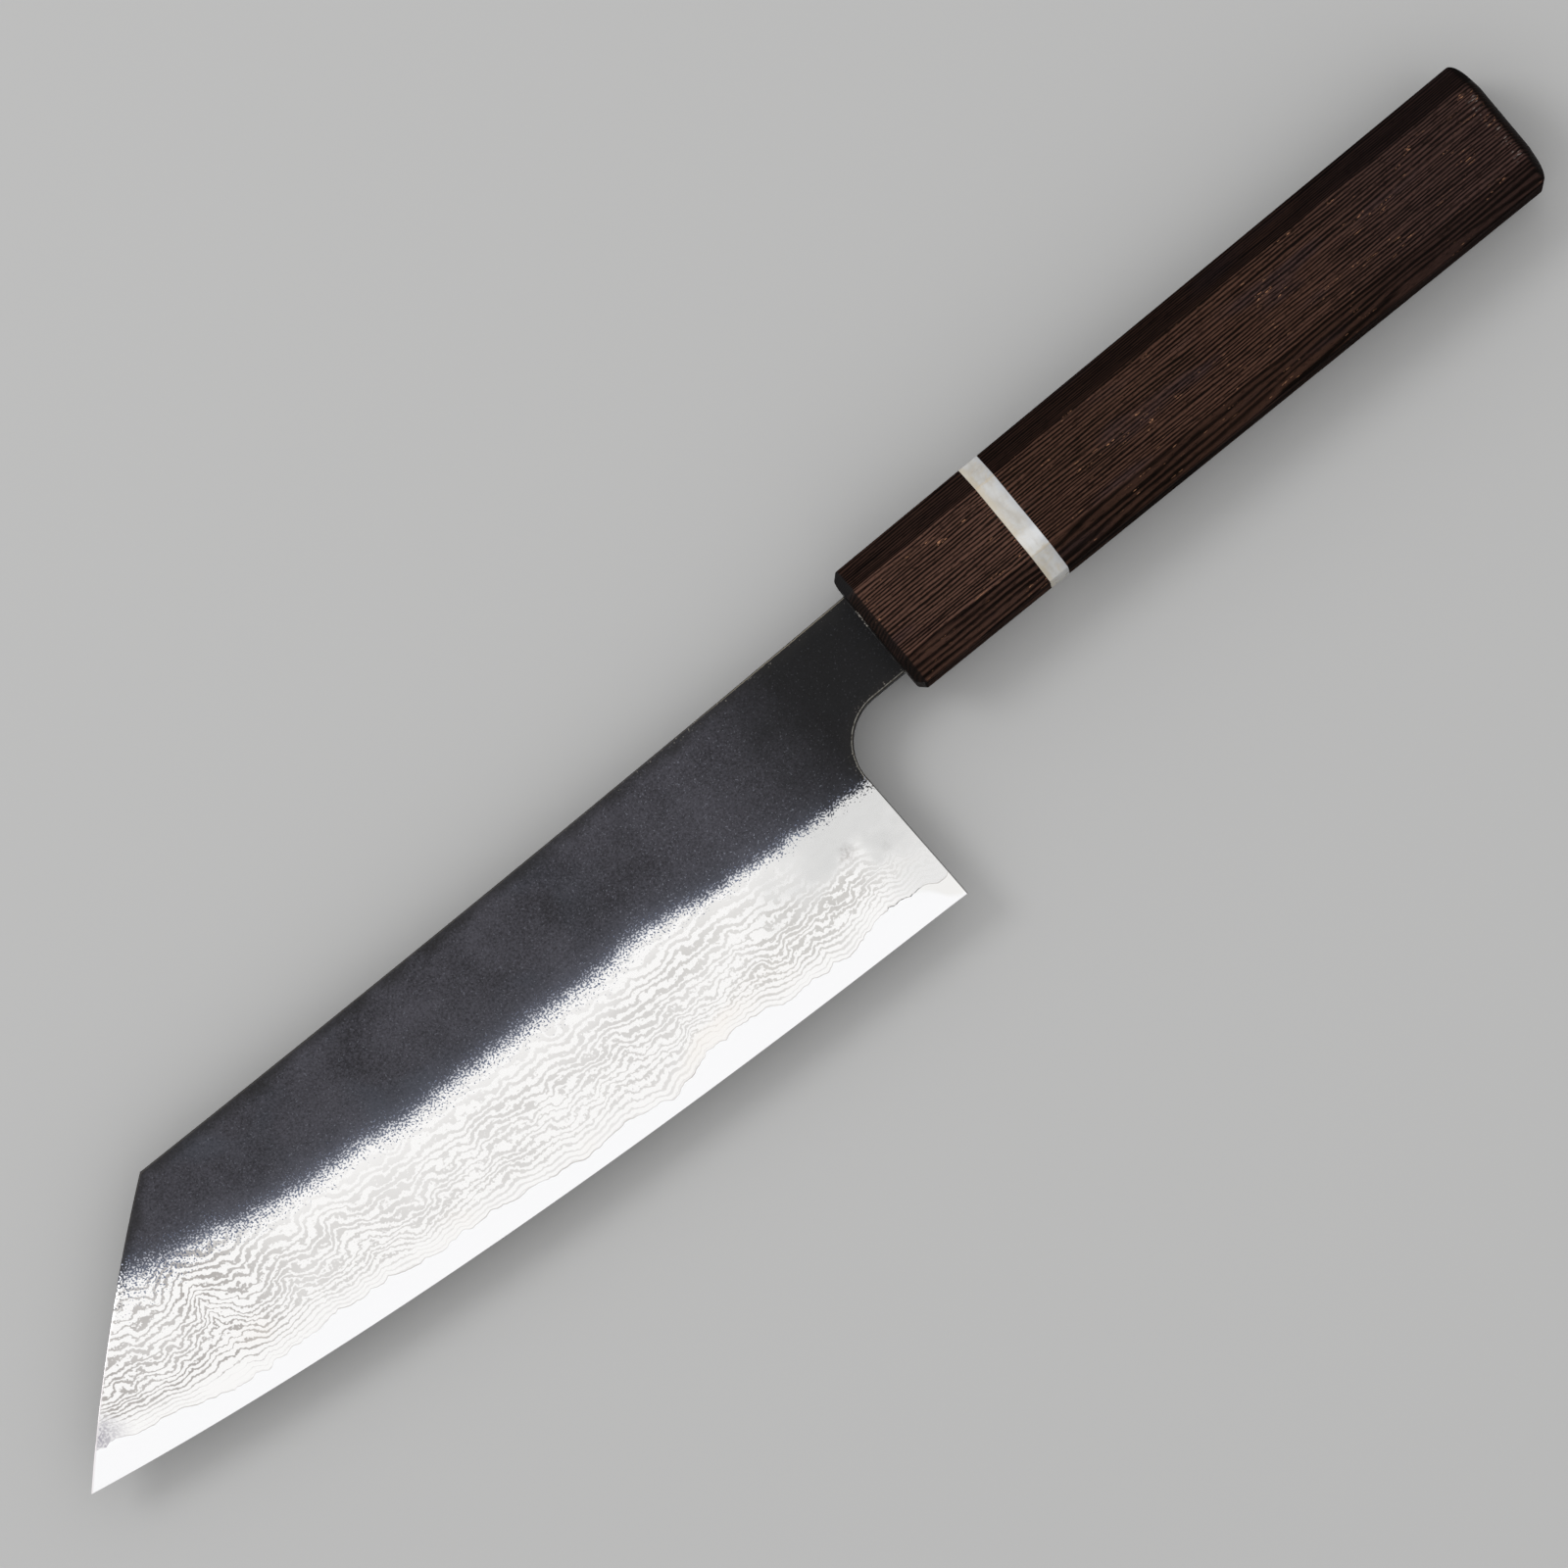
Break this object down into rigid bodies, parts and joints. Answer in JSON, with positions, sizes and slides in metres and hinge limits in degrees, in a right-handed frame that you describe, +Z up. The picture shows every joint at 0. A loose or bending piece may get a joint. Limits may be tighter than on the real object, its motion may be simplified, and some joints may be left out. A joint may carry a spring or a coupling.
{
  "type": "bunka knife",
  "caption": "Kitchen knife with a laminated, slant-tipped blade under dark forge scale and patterned steel, in an octagonal wooden handle with a pale ring.",
  "frame": {"origin": "middle of the bounding box, on the surface that the knife lies on", "axes": "The knife lies on its right side. +X runs from the tip to the butt, +Y from the cutting edge to the spine, and +Z up, out of the blade's left face."},
  "size_m": [0.3102, 0.0528, 0.0188],
  "materials": {
    "polished_core_steel": "polished",
    "patterned_steel": "etched pattern below, dark forge scale above",
    "ferrule_wenge": "sanded and oiled",
    "grip_wenge": "sanded and oiled",
    "marbled_ivory_resin": "polished",
    "magnolia_wood": "bare",
    "dark_sealing_resin": "glossy"
  },
  "bodies": {
    "root": {"blade_core": "polished_core_steel", "cladding_left": "patterned_steel", "cladding_right": "patterned_steel", "ferrule": "ferrule_wenge", "tang_seal": "dark_sealing_resin", "spacer_ring": "marbled_ivory_resin", "grip": "grip_wenge", "joining_dowel": "magnolia_wood"}
  },
  "joints": []
}
